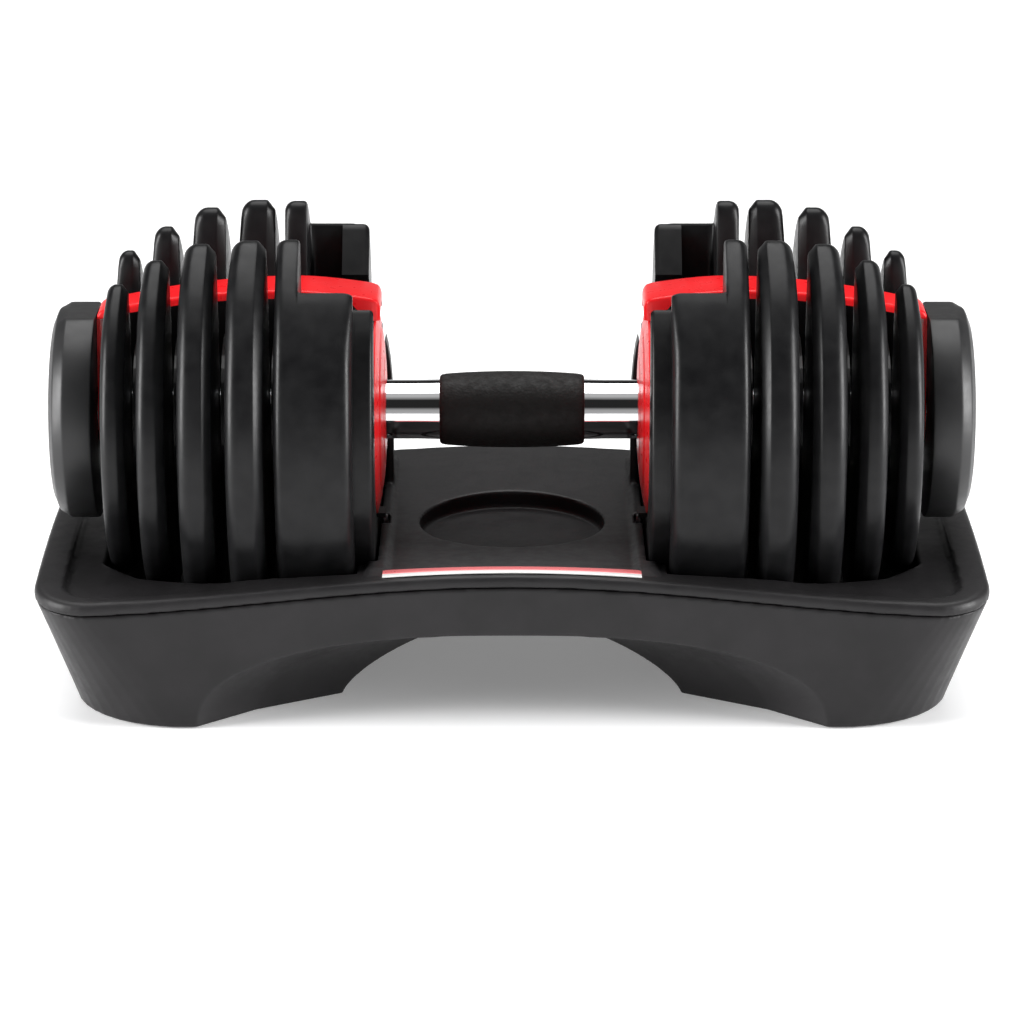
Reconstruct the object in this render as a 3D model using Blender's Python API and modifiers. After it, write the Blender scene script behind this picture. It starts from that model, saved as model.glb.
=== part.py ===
"""Adjustable dumbbell in its storage tray, built as an assembly of separate pieces.

Metres, +Z up. The origin is on the table under the middle of the tray and the handle runs along X.
The dumbbell's own pieces are drawn about its axis, which lies AXIS_Z above the table.
"""
import math

import bmesh
import bpy
from mathutils import Matrix, Vector

MM = 0.001
ASSEMBLY = "adjustable_dumbbell"

# ---- driving dimensions (millimetres until a mesh is made) ----
LENGTH = 400.0                 # dumbbell, over the two dial faces
AXIS_Z = 114.0                 # axis of the handle above the table
GAP = 0.3                      # clearance between pieces that touch
SEGMENTS = 24                  # facets round a full turn
RIM_STEPS = 21                 # and round a plate, whose slot leaves part of the turn open
SETTINGS = 15                  # weight settings round the dial
STEP_ANGLE = 360.0 / SETTINGS
FLAT_ANGLE = 0.6               # faces within this many degrees of each other count as one plane

# plates, outside in: inner face X, outer face X, radius, half width of the slot at its top
PLATES = [
    {"name": "plate_1", "inner": 164.6, "outer": 175.0, "radius": 72.5, "mouth": 25.5, "gap": 3.9},
    {"name": "plate_2", "inner": 147.0, "outer": 159.0, "radius": 82.5, "mouth": 25.5, "gap": 5.5},
    {"name": "plate_3", "inner": 126.5, "outer": 141.2, "radius": 91.0, "mouth": 28.5, "gap": 5.7},
    {"name": "plate_4", "inner": 104.7, "outer": 120.7, "radius": 95.0, "mouth": 33.0, "gap": 5.7},
    {"name": "plate_5", "inner": 90.4, "outer": 100.3, "radius": 94.0, "mouth": 31.0, "gap": 4.3},
]
PLATE_WEIGHTS = [1.25, 2.5, 5.0, 7.5, 7.5]        # pounds, plate_1 to plate_5
LOADS = [0.0, 1.25, 2.5, 3.75, 5.0, 6.25, 7.5, 8.75, 10.0, 12.5, 15.0, 17.5, 20.0, 22.5, 23.75]
SLOT_FLOOR = 22.0              # radius of the slot's round bottom about the axis
RIM_CHAMFER = 2.8
HORN_BLEND = 10.0              # how far back from its tip a horn starts to round off
WIDE_INNER = 67.3              # the innermost plate's wide part
WIDE_MOUTH = 60.0
WIDE_SLOT = 52.5
WIDE_BLEND = 5.0
BOSS_INNER = 58.8              # and the raised boss on its inner face
BOSS_RADIUS = 82.0
BOSS_FRONT = 131.6             # the boss runs from this angle, at the front, under the axis
BOSS_REAR = 14.0               # to this one at the rear
BOSS_CHAMFER = 1.5
PAD_START = 63.9               # a pad behind the axis carries the wide rim inwards to here
PAD_TOP = 49.0                 # between these two angles
PAD_BOTTOM = 10.0
PAD_INNER_RADIUS = 66.0

LUG = {"half_width": 6.0, "top": 23.5, "bottom": 28.4}
FLANGE_INNER = 29.6            # selector flange that carries a plate's lug
FLANGE_OUTER = 33.4
WEB = 1.5
CLEAR = 0.4                    # running clearance of the selectors

ROD_RADIUS = 5.0
SLEEVE_RADIUS = 9.0
SLEEVE_START = 67.0
TUBE_RADIUS = 13.0
GRIP_HALF = 31.7
GRIP_RADIUS = 16.8
DISC_RADIUS = 46.0             # red domed disc at each end of the handle
DISC_FACE = 55.2
DISC_BACK = 59.9
HOUSING_RADIUS = 44.0
HOUSING_END = 86.0
DIAL_RADIUS = 47.5
DIAL_INNER = 181.0
DIAL_FLAT = 44.9               # height of the index flat above the axis
DIAL_HUB = 16.0
DIAL_RECESS = 6.4              # depth of the round recess in the dial's face
DIAL_WALL = 7.0
DIAL_HOLLOW = 191.0            # the hollow in the dial's back ends here
SLEEVE_END = 190.2
LEG_INNER = 178.9              # outer leg of the bridge
LEG_OUTER = 180.5
LEG_RADIUS = 17.0
LEG_TOP = 44.0

TRAY_HALF_LENGTH = 204.5
TRAY_HALF_DEPTH = 98.0
TRAY_CORNER = 26.0
DECK_MIDDLE = 62.5             # height of the deck at its lowest, under the grip
DECK_RISE = 6.7                # and how far it rises to the front and rear rims
END_FALL = 1.5                 # the ends of the tray lie this far under the middle of the deck
CORNER_FALL = 12.2             # and the corners fall this much further
DECK_HALF = 53.0
SEAM_DROP = 5.4                # the seam lies this far under the rim
SKIN = 2.6                     # wall of the tray mouldings
WELL_INNER = 57.6
WELL_WALL = 1.8
RECESS_RADIUS = 40.8
RECESS_DEPTH = 7.0
GUIDE_Y = 48.0
# rear guide in X and Z: upright on its outer face, sloped inwards on the face that meets the disc
GUIDE = [
    (53.6, 58.0), (53.6, 100.0), (53.9, 112.0), (54.6, 122.0), (55.7, 130.0), (56.9, 134.0),
    (57.4, 134.0), (57.4, 58.0),
]
# arch through the tray: distance from the middle, half width, height and squareness of its section
ARCH = [
    (54.0, 74.0, 38.0, 1.45), (75.0, 110.0, 40.5, 1.9), (97.0, 134.8, 42.0, 2.4), (130.0, 181.0, 44.0, 2.4),
]
ARCH_STEPS = 16
END_ARCH_HALF = 40.0
END_ARCH_HEIGHT = 11.0
END_ARCH_START = 150.0
BASE_TAPER = 15.0              # each end draws in this far from the seam to the foot
BASE_CORNER = 24.0             # and the corners' radius grows by this much
BASE_Z = 0.5                   # underside of the lower moulding, just clear of the table
FLOOR = 3.2
PAD_THICK = 1.8                # rubber pads let into the feet
PAD_RADIUS = 9.0
FOOT_X = 134.0
FOOT_Y = 66.0
PIN_SEAT = 60.5
PIN_X = 56.6
PIN_NOTCH = 8.0
STRIP_HALF = 55.0
STRIP_Y = -88.0
STRIP_WIDTH = 12.0
STRIP_THICK = 0.8
STRIP_STEPS = 10


# ---- helpers ----
def clear_scene():
    for item in list(bpy.data.objects):
        bpy.data.objects.remove(item, do_unlink=True)


def make_collection(name):
    made = bpy.data.collections.new(name)
    bpy.context.scene.collection.children.link(made)


def material(name, colour, roughness, metallic=0.0):
    made = bpy.data.materials.new(name)
    made.use_nodes = True
    shader = made.node_tree.nodes["Principled BSDF"]
    shader.inputs["Base Color"].default_value = (*colour, 1.0)
    shader.inputs["Roughness"].default_value = roughness
    shader.inputs["Metallic"].default_value = metallic
    made.diffuse_color = (*colour, 1.0)
    return made


def tidy(mesh):
    """Weld the mesh's seams and point its faces out."""
    work = bmesh.new()
    work.from_mesh(mesh)
    bmesh.ops.remove_doubles(work, verts=work.verts, dist=1e-6)
    bmesh.ops.dissolve_degenerate(work, edges=work.edges, dist=1e-6)
    bmesh.ops.recalc_face_normals(work, faces=work.faces)
    work.to_mesh(mesh)
    work.free()


def freeze(item):
    """Replace an object's modifiers, or its curve, with the mesh that they make."""
    depsgraph = bpy.context.evaluated_depsgraph_get()
    mesh = bpy.data.meshes.new_from_object(item.evaluated_get(depsgraph))
    mesh.name = item.name
    tidy(mesh)
    if item.type == "MESH":
        item.modifiers.clear()
        item.data = mesh
        return item
    name = item.name
    matrix = item.matrix_world.copy()
    bpy.data.objects.remove(item, do_unlink=True)
    solid = bpy.data.objects.new(name, mesh)
    solid.matrix_world = matrix
    bpy.context.scene.collection.objects.link(solid)
    return solid


def new_object(name, mesh):
    item = bpy.data.objects.new(name, mesh)
    bpy.context.scene.collection.objects.link(item)
    return item


def turned(name, profile, side=1, closed=True, steps=SEGMENTS):
    """Turn a profile of (x, radius) points about the X axis; side -1 mirrors it."""
    points = [Vector((side * x, radius, 0.0)) * MM for x, radius in profile]
    count = len(points)
    edges = [(i, i + 1) for i in range(count - 1)]
    if closed:
        edges.append((count - 1, 0))
    mesh = bpy.data.meshes.new(name)
    mesh.from_pydata(points, edges, [])
    item = new_object(name, mesh)
    screw = item.modifiers.new("turn", "SCREW")
    screw.axis = "X"
    screw.steps = steps
    screw.render_steps = steps
    screw.use_merge_vertices = True
    screw.merge_threshold = 1e-6
    return freeze(item)


def ring(x0, x1, inner, outer):
    """Profile of a plain ring."""
    return [(x0, inner), (x0, outer), (x1, outer), (x1, inner)]


def outline_solid(name, outline, low, high, axis="X", side=1):
    """Extrude a flat outline from low to high along X (outline in Y, Z) or Y (outline in X, Z)."""
    curve = bpy.data.curves.new(name, "CURVE")
    curve.dimensions = "2D"
    curve.fill_mode = "BOTH"
    curve.extrude = abs(high - low) / 2 * MM
    spline = curve.splines.new("POLY")
    spline.points.add(len(outline) - 1)
    for point, (u, v) in zip(spline.points, outline):
        point.co = (u * MM, v * MM, 0.0, 1.0)
    spline.use_cyclic_u = True
    item = freeze(new_object(name, curve))
    middle = (low + high) / 2 * MM
    if axis == "X":
        turn = Matrix(((0, 0, 1, side * middle), (1, 0, 0, 0), (0, 1, 0, 0), (0, 0, 0, 1)))
    elif axis == "Y":
        turn = Matrix(((side, 0, 0, 0), (0, 0, 1, middle), (0, 1, 0, 0), (0, 0, 0, 1)))
    else:
        turn = Matrix(((side, 0, 0, 0), (0, 1, 0, 0), (0, 0, 1, middle), (0, 0, 0, 1)))
    item.data.transform(turn)
    tidy(item.data)
    return item


def box(name, low, high):
    """A box between two corners, in millimetres."""
    bpy.ops.mesh.primitive_cube_add(size=1.0)
    item = bpy.context.active_object
    item.name = name
    size = [(b - a) * MM for a, b in zip(low, high)]
    middle = [(a + b) / 2 * MM for a, b in zip(low, high)]
    item.data.transform(Matrix.Translation(middle) @ Matrix.Diagonal((*size, 1.0)))
    tidy(item.data)
    return item


def side_box(name, side, low, high):
    """A box whose X range is mirrored on side -1."""
    x0, x1 = sorted((side * low[0], side * high[0]))
    return box(name, (x0, low[1], low[2]), (x1, high[1], high[2]))


def chamfer(item, width, angle=50.0, segments=1):
    bevel = item.modifiers.new("chamfer", "BEVEL")
    bevel.width = width * MM
    bevel.segments = segments
    bevel.limit_method = "ANGLE"
    bevel.angle_limit = math.radians(angle)
    return freeze(item)


def triangulate(item):
    """Split faces into triangles, so that every face is flat before a Boolean."""
    work = bmesh.new()
    work.from_mesh(item.data)
    bmesh.ops.triangulate(work, faces=work.faces)
    work.to_mesh(item.data)
    work.free()


def merge_flat(item):
    """Join triangles that lie in one plane and drop the points that nothing needs."""
    work = bmesh.new()
    work.from_mesh(item.data)
    bmesh.ops.dissolve_limit(work, angle_limit=math.radians(FLAT_ANGLE), verts=work.verts, edges=work.edges)
    bmesh.ops.triangulate(work, faces=work.faces)
    work.to_mesh(item.data)
    work.free()


def combine(item, other, operation="DIFFERENCE"):
    """Join or cut with another solid, which is used up."""
    triangulate(item)
    triangulate(other)
    modifier = item.modifiers.new(operation.lower(), "BOOLEAN")
    modifier.solver = "EXACT"
    modifier.operation = operation
    modifier.object = other
    item = freeze(item)
    bpy.data.objects.remove(other, do_unlink=True)
    return item


def arc(radius, start, end, count, centre=(0.0, 0.0)):
    """Points on a circle, angles in degrees, both ends included."""
    points = []
    for i in range(count + 1):
        angle = math.radians(start + (end - start) * i / count)
        points.append((centre[0] + radius * math.cos(angle), centre[1] + radius * math.sin(angle)))
    return points


def blend(before, corner, after, reach, count=2):
    """Points that round a corner off, reach millimetres back along each side."""
    corner = Vector(corner)
    start = corner + (Vector(before) - corner).normalized() * reach
    end = corner + (Vector(after) - corner).normalized() * reach
    points = []
    for i in range(count + 1):
        t = i / count
        point = start * (1 - t) ** 2 + corner * 2 * t * (1 - t) + end * t * t
        points.append((point.x, point.y))
    return points


def finish(item, look, parent=None, smooth=35.0):
    """Give a finished piece its material, its place under an empty and its shading."""
    merge_flat(item)
    item.data.materials.clear()
    item.data.materials.append(look)
    item.data.shade_smooth()
    item.data.set_sharp_from_angle(angle=math.radians(smooth))
    for owner in list(item.users_collection):
        owner.objects.unlink(item)
    bpy.data.collections[ASSEMBLY].objects.link(item)
    if parent is not None:
        item.parent = parent
    return item


def empty(name, location, parent=None):
    item = bpy.data.objects.new(name, None)
    item.empty_display_size = 0.02
    item.location = location
    bpy.data.collections[ASSEMBLY].objects.link(item)
    item.parent = parent
    return item


# ---- plates ----
def plate_outline(radius, mouth, floor, reach):
    """Disc with a slot that opens upwards: round bottom about the axis, walls that flare to the mouth."""
    top = math.sqrt(radius ** 2 - mouth ** 2)
    tip_angle = math.degrees(math.atan2(top, mouth))
    outer = arc(radius, tip_angle, -180.0 - tip_angle, RIM_STEPS)
    lean = math.degrees(math.atan2(mouth - floor, top))
    bottom = arc(floor, 180.0 + lean, 360.0 - lean, 8)
    right = blend(bottom[-1], outer[0], outer[1], reach, 3)
    left = blend(outer[-2], outer[-1], bottom[0], reach, 3)
    clear = reach + 1.0
    keep = [p for p in outer if math.dist(p, outer[0]) > clear and math.dist(p, outer[-1]) > clear]
    return right + keep + left + bottom


def boss_outline():
    """Broad C about the axis, which reaches higher at the front than at the rear."""
    outer = arc(BOSS_RADIUS, BOSS_REAR, BOSS_FRONT - 360.0, RIM_STEPS)
    return outer + arc(WIDE_SLOT, 180.0, 360.0, 12) + [(WIDE_SLOT + 0.2, outer[0][1])]


def rear_pad_outline(radius):
    """Part of the wide rim, behind the axis, that stands further in than the rest of it."""
    outer = arc(radius, PAD_TOP, PAD_BOTTOM, 5)
    return outer + arc(PAD_INNER_RADIUS, PAD_BOTTOM, PAD_TOP, 4)


def add_lug(plate, side, spec):
    """Lug on the plate's outer face that a selector's flange carries."""
    reach = spec["gap"] - 2 * CLEAR - WEB
    low = (spec["outer"] - 0.5, -LUG["half_width"], -LUG["bottom"])
    high = (spec["outer"] + reach, LUG["half_width"], -LUG["top"])
    return combine(plate, side_box("lug", side, low, high), "UNION")


def build_plate(side, label, spec, look, parent):
    """One U-slotted weight plate."""
    outline = plate_outline(spec["radius"], spec["mouth"], SLOT_FLOOR, HORN_BLEND)
    name = label + "_" + spec["name"]
    plate = outline_solid(name, outline, spec["inner"], spec["outer"], side=side)
    plate = chamfer(plate, RIM_CHAMFER)
    if spec["name"] == "plate_5":
        overlap = RIM_CHAMFER + 0.4
        wide = plate_outline(spec["radius"], WIDE_MOUTH, WIDE_SLOT, WIDE_BLEND)
        part = outline_solid("wide", wide, WIDE_INNER, spec["inner"] + overlap, side=side)
        plate = combine(plate, chamfer(part, RIM_CHAMFER), "UNION")
        part = outline_solid("pad", rear_pad_outline(spec["radius"]), PAD_START, WIDE_INNER + overlap, side=side)
        plate = combine(plate, chamfer(part, RIM_CHAMFER), "UNION")
        part = outline_solid("boss", boss_outline(), BOSS_INNER, WIDE_INNER + overlap, side=side)
        plate = combine(plate, chamfer(part, BOSS_CHAMFER), "UNION")
    plate = add_lug(plate, side, spec)
    return finish(plate, look, parent)


# ---- selector, inside the dumbbell ----
def carried(plate_index):
    """For each setting, whether this plate is picked up."""
    order = sorted(range(len(PLATE_WEIGHTS)), key=lambda i: -PLATE_WEIGHTS[i])
    result = []
    for load in LOADS:
        left = load
        chosen = set()
        for i in order:
            if PLATE_WEIGHTS[i] <= left + 1e-6:
                chosen.add(i)
                left -= PLATE_WEIGHTS[i]
        result.append(plate_index in chosen)
    return result


def empty_runs(table):
    """Runs of settings, going round the dial, that leave the plate behind: (first, how many)."""
    runs = []
    for i, used in enumerate(table):
        if used or not table[i - 1]:
            continue
        count = 1
        while not table[(i + count) % len(table)]:
            count += 1
        runs.append((i, count))
    return runs


def build_selector(side, label, index, look, parent):
    """Disc whose flange passes under the plate's lug at each setting that carries the plate."""
    spec = PLATES[index]
    web_end = spec["outer"] + spec["gap"] - CLEAR
    web_start = web_end - WEB
    flange_end = spec["outer"] + CLEAR
    bore = SLEEVE_RADIUS + GAP
    profile = [
        (web_end, bore), (web_end, FLANGE_OUTER), (flange_end, FLANGE_OUTER),
        (flange_end, FLANGE_INNER), (web_start, FLANGE_INNER), (web_start, bore),
    ]
    name = label + "_selector_disc_" + str(index + 1)
    disc = turned(name, profile, side, steps=2 * SETTINGS)
    half = STEP_ANGLE / 2
    for first, count in empty_runs(carried(index)):
        start = -90.0 + (SETTINGS - 1 - first) * STEP_ANGLE + half
        end = start - count * STEP_ANGLE
        steps = 2 * count
        sector = arc(FLANGE_OUTER + 2.0, start, end, steps) + arc(FLANGE_INNER - 0.6, end, start, steps)
        cutter = outline_solid("notch", sector, flange_end - 0.5, web_start, side=side)
        disc = combine(disc, cutter)
    return finish(disc, look, parent)


def build_index_wheel(side, label, look, parent):
    """Cup-shaped wheel with one notch per setting on the inside of its rim."""
    bore = SLEEVE_RADIUS + GAP
    profile = [
        (70.5, bore), (70.5, 33.0), (64.5, 33.0), (64.5, 25.0), (68.5, 25.0), (68.5, bore),
    ]
    wheel = turned(label + "_index_wheel", profile, side, steps=2 * SETTINGS)
    for i in range(SETTINGS):
        notch = side_box("notch", side, (64.0, -2.6, -28.0), (67.6, 2.6, -23.0))
        notch.data.transform(Matrix.Rotation(math.radians(STEP_ANGLE * i), 4, "X"))
        wheel = combine(wheel, notch)
    return finish(wheel, look, parent)


def build_sleeve(side, label, look, parent):
    """Tube that turns with the dial and carries the selector discs."""
    sleeve = turned(label + "_selector_sleeve", ring(SLEEVE_START, SLEEVE_END, ROD_RADIUS + CLEAR, SLEEVE_RADIUS), side)
    return finish(sleeve, look, parent)


def build_dial(side, label, look, parent):
    """End knob with a chamfered face, a hollow back and a flat that marks the setting."""
    face = LENGTH / 2
    bore = SLEEVE_RADIUS + GAP
    recess = face - DIAL_RECESS
    seat = SLEEVE_END + GAP
    profile = [
        (DIAL_INNER, DIAL_RADIUS - DIAL_WALL), (DIAL_INNER, DIAL_RADIUS - 0.8), (DIAL_INNER + 0.8, DIAL_RADIUS),
        (face - 6.6, DIAL_RADIUS), (face - 2.4, DIAL_RADIUS - 2.6), (face, DIAL_RADIUS - 8.0),
        (face, DIAL_HUB - 1.0), (recess, DIAL_HUB - 1.0), (recess, ROD_RADIUS + CLEAR),
        (seat, ROD_RADIUS + CLEAR), (seat, bore), (DIAL_INNER, bore), (DIAL_INNER, DIAL_HUB),
        (DIAL_HOLLOW, DIAL_HUB), (DIAL_HOLLOW, DIAL_RADIUS - DIAL_WALL),
    ]
    dial = turned(label + "_dial", profile, side)
    flat = side_box("flat", side, (DIAL_INNER - 2.0, -30.0, DIAL_FLAT), (face + 2.0, 30.0, 60.0))
    dial = combine(dial, flat)
    return finish(dial, look, parent)


# ---- handle ----
def build_rod(look, parent):
    half = LENGTH / 2 - 1.2
    rod = turned("core_rod", [(-half, 0.0), (-half, ROD_RADIUS), (half, ROD_RADIUS), (half, 0.0)], closed=False,
                 steps=24)
    return finish(rod, look, parent)


def build_tube(look, parent):
    tube = turned("handle_tube", ring(-66.5, 66.5, ROD_RADIUS + GAP, TUBE_RADIUS))
    return finish(tube, look, parent)


def build_grip(look, parent):
    """Barrel-shaped rubber sleeve."""
    inner = TUBE_RADIUS + GAP
    end = GRIP_RADIUS - 1.5
    profile = [(-GRIP_HALF, inner), (-GRIP_HALF, end - 0.8), (-GRIP_HALF + 0.8, end)]
    count = 6
    for i in range(1, count):
        x = -GRIP_HALF + 2 * GRIP_HALF * i / count
        profile.append((x, end + (GRIP_RADIUS - end) * (1 - (x / GRIP_HALF) ** 2)))
    profile += [(GRIP_HALF - 0.8, end), (GRIP_HALF, end - 0.8), (GRIP_HALF, inner)]
    return finish(turned("grip", profile), look, parent)


def build_inner_disc(side, label, look, parent):
    """Domed end disc of the handle."""
    bore = TUBE_RADIUS + GAP
    profile = [(DISC_BACK, bore), (DISC_FACE, bore)]
    rise = DISC_BACK - 0.8 - DISC_FACE
    for i in range(1, 6):
        radius = bore + (DISC_RADIUS - bore) * i / 5
        profile.append((DISC_FACE + rise * (i / 5) ** 2, radius))
    profile.append((DISC_BACK, DISC_RADIUS))
    return finish(turned(label + "_inner_disc", profile, side), look, parent)


def build_housing(side, label, look, parent):
    """Cup behind the inner disc that holds the dial lock."""
    front = DISC_BACK + GAP
    bore = SLEEVE_RADIUS + GAP
    inner = HOUSING_RADIUS - 2.2
    profile = [
        (front, HOUSING_RADIUS), (front, inner), (HOUSING_END - 2.5, inner), (HOUSING_END - 2.5, bore),
        (HOUSING_END, bore), (HOUSING_END, HOUSING_RADIUS),
    ]
    housing = turned(label + "_lock_housing", profile, side)
    slot = side_box("slot", side, (front - 1.0, -5.6, -HOUSING_RADIUS - 2.0), (front + 3.2, 5.6, -inner + 3.0))
    housing = combine(housing, slot)
    return finish(housing, look, parent)


def bridge_height(x):
    """Top of the bridge above the axis: an arch, a little lower at the handle than over the plates."""
    span = (x - 95.0) / 85.0
    if x < 95.0:
        return 57.4 - 3.6 * (abs(x - 95.0) / 35.0) ** 1.6
    return 57.4 - 10.2 * span ** 2.0


def bridge_half_width(x):
    return 14.6 - 3.6 * max(0.0, min(1.0, (x - 85.0) / 80.0))


def loft(name, rings, closed_ends=True):
    """Skin between rings that have the same number of points, given in millimetres."""
    work = bmesh.new()
    rows = []
    for points in rings:
        rows.append([work.verts.new(Vector(point) * MM) for point in points])
    count = len(rows[0])
    for lower, upper in zip(rows, rows[1:]):
        for i in range(count):
            j = (i + 1) % count
            work.faces.new((lower[i], lower[j], upper[j], upper[i]))
    if closed_ends:
        work.faces.new(rows[0])
        work.faces.new(list(reversed(rows[-1])))
    bmesh.ops.recalc_face_normals(work, faces=work.faces)
    mesh = bpy.data.meshes.new(name)
    work.to_mesh(mesh)
    work.free()
    return new_object(name, mesh)


def bridge_section(x, side):
    """Channel section of the bridge at x: a crowned top with two side flanges."""
    top = bridge_height(x)
    half = bridge_half_width(x)
    depth = 8.0
    wall = 2.4
    edge = 1.6
    section = [
        (-half, top - depth), (-half, top - edge), (-half + edge, top), (half - edge, top),
        (half, top - edge), (half, top - depth), (half - wall, top - depth), (half - wall, top - 3.0),
        (-half + wall, top - 3.0), (-half + wall, top - depth),
    ]
    return [(side * x, y, z) for y, z in section]


def build_bridge(side, label, look, parent):
    """Arm over the plates, with a foot on the inner disc and a leg between plate 1 and the dial."""
    stations = [DISC_FACE + 2.0, 70.0, 90.0, 112.0, 134.0, 154.0, 170.0]
    bridge = loft(label + "_bridge", [bridge_section(x, side) for x in stations + [LEG_OUTER]])
    foot = side_box("foot", side, (DISC_BACK + GAP, -13.0, HOUSING_RADIUS - 1.5), (DISC_BACK + 3.0, 13.0, 52.0))
    rim = turned("rim", ring(DISC_FACE, 80.0, 30.0, HOUSING_RADIUS + GAP), side)
    foot = combine(foot, rim)
    bridge = combine(bridge, foot, "UNION")
    bore = arc(SLEEVE_RADIUS + 2 * GAP, 0.0, 360.0, 16)[:-1]
    half = bridge_half_width(LEG_INNER)
    leg_outline = arc(LEG_RADIUS, -160.0, -20.0, 8)
    leg_outline += [(half, LEG_TOP - 4.0), (half, LEG_TOP), (-half, LEG_TOP), (-half, LEG_TOP - 4.0)]
    leg = outline_solid("leg", leg_outline, LEG_INNER, LEG_OUTER, side=side)
    leg = combine(leg, outline_solid("bore", bore, LEG_INNER - 1.0, LEG_OUTER + 1.0, side=side))
    bridge = combine(bridge, leg, "UNION")
    return finish(bridge, look, parent)


def build_end_fasteners(side, label, look, parent):
    """Washer and hexagon nut on the end of the core rod, in the dial's recess."""
    seat = LENGTH / 2 - DIAL_RECESS
    washer = turned(label + "_washer", ring(seat + GAP, seat + 1.3, ROD_RADIUS + GAP, 10.5), side, steps=16)
    finish(washer, look, parent)
    hexagon = arc(8.6, 0.0, 360.0, 6)[:-1]
    bore = arc(ROD_RADIUS + 2 * GAP, 0.0, 360.0, 12)[:-1]
    nut = outline_solid(label + "_nut", hexagon, seat + 1.6, seat + 5.0, side=side)
    nut = combine(nut, outline_solid("bore", bore, seat, seat + 6.0, side=side))
    finish(nut, look, parent)


def build_lock_tab(side, label, look, parent):
    """Bent tab: its foot rests on the tray's pin, its tooth drops into the index wheel when lifted."""
    plate = side_box(label + "_lock_tab", side, (DISC_BACK + 0.7, -5.0, -48.4), (DISC_BACK + 2.4, 5.0, -17.8))
    foot = side_box("foot", side, (DISC_FACE + 0.6, -5.0, -48.4), (DISC_BACK + 1.4, 5.0, -46.4))
    tooth = side_box("tooth", side, (DISC_BACK + 1.6, -2.0, -20.8), (67.4, 2.0, -17.8))
    tab = combine(plate, foot, "UNION")
    tab = combine(tab, tooth, "UNION")
    return finish(tab, look, parent)


# ---- tray ----
def rounded_rectangle(half_x, half_y, corner, count=5):
    """Plan outline, anticlockwise from the +X side, with points along the straight stretches."""
    points = []
    for sign_x, sign_y, start in ((1, 1, 0), (-1, 1, 90), (-1, -1, 180), (1, -1, 270)):
        centre = (sign_x * (half_x - corner), sign_y * (half_y - corner))
        points += arc(corner, start, start + 90, count, centre)
    result = []
    for i, a in enumerate(points):
        b = points[(i + 1) % len(points)]
        result.append(a)
        if i % (count + 1) == count:
            stretch = 10 if abs(a[0] - b[0]) > abs(a[1] - b[1]) else 3
            result += [(a[0] + (b[0] - a[0]) * k / stretch, a[1] + (b[1] - a[1]) * k / stretch)
                       for k in range(1, stretch)]
    return result


def top_height(x, y):
    """Top surface of the tray: a deck dished from front to back, falling in an S-curve to the ends."""
    along = min(1.0, abs(x) / TRAY_HALF_LENGTH)
    end = math.sin(math.pi / 2 * along) ** 2
    edge = min(1.0, abs(y) / TRAY_HALF_DEPTH) ** 2
    return DECK_MIDDLE - END_FALL * end + (DECK_RISE - CORNER_FALL * end) * edge


def surface_ring(inset, drop, scale=1.0):
    """Ring that follows the tray's top surface, inset from its outline and below it."""
    outline = rounded_rectangle(TRAY_HALF_LENGTH - inset, TRAY_HALF_DEPTH - inset, TRAY_CORNER - inset)
    return [(x * scale, y * scale, top_height(x * scale, y * scale) - drop) for x, y in outline]


INNER_SCALES = (0.82, 0.5, 0.05)


def build_slab():
    """Skin of the top moulding with its rounded rim, before the wells are joined to it."""
    rings = [surface_ring(0.0, SEAM_DROP, scale) for scale in reversed(INNER_SCALES)]
    rings += [surface_ring(0.0, SEAM_DROP), surface_ring(0.0, 2.4), surface_ring(0.8, 0.8)]
    rings += [surface_ring(2.6, 0.0)] + [surface_ring(2.6, 0.0, scale) for scale in INNER_SCALES]
    inner = [[(x, y, 20.0) for x, y, _ in surface_ring(SKIN, 0.0)], surface_ring(SKIN + 0.4, SKIN)]
    inner += [surface_ring(SKIN + 0.4, SKIN, scale) for scale in INNER_SCALES]
    return combine(loft("slab", rings), loft("inside", inner))


def well_profile(grow, inner_x):
    """Turned outline of a well about the dumbbell's axis, following the plates."""
    first, second, _, fourth, _ = PLATES
    full = fourth["radius"] + 1.2 + grow
    boss = BOSS_RADIUS + 1.2 + grow
    step = WIDE_INNER - 1.2 - grow
    return [
        (inner_x, 0.0), (inner_x, boss), (step, boss), (step, full), (fourth["outer"] + 2.0, full),
        (second["outer"] + 2.0, second["radius"] + 4.4 + grow),
        (first["outer"] + 1.6 + grow, first["radius"] + 1.6 + grow), (first["outer"] + 1.6 + grow, 0.0),
    ]


def raised(item):
    """Move a solid drawn about the dumbbell's axis up to its height over the table."""
    item.data.transform(Matrix.Translation((0.0, 0.0, AXIS_Z * MM)))
    return item


def under_surface():
    """Everything inside the tray's outline and just below its top surface."""
    outline = rounded_rectangle(TRAY_HALF_LENGTH - 3.6, TRAY_HALF_DEPTH - 3.6, TRAY_CORNER - 3.6)
    rings = [[(x, y, 5.0) for x, y in outline], surface_ring(3.6, 1.0)]
    rings += [surface_ring(3.6, 1.0, scale) for scale in INNER_SCALES]
    return loft("under", rings)


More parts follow.
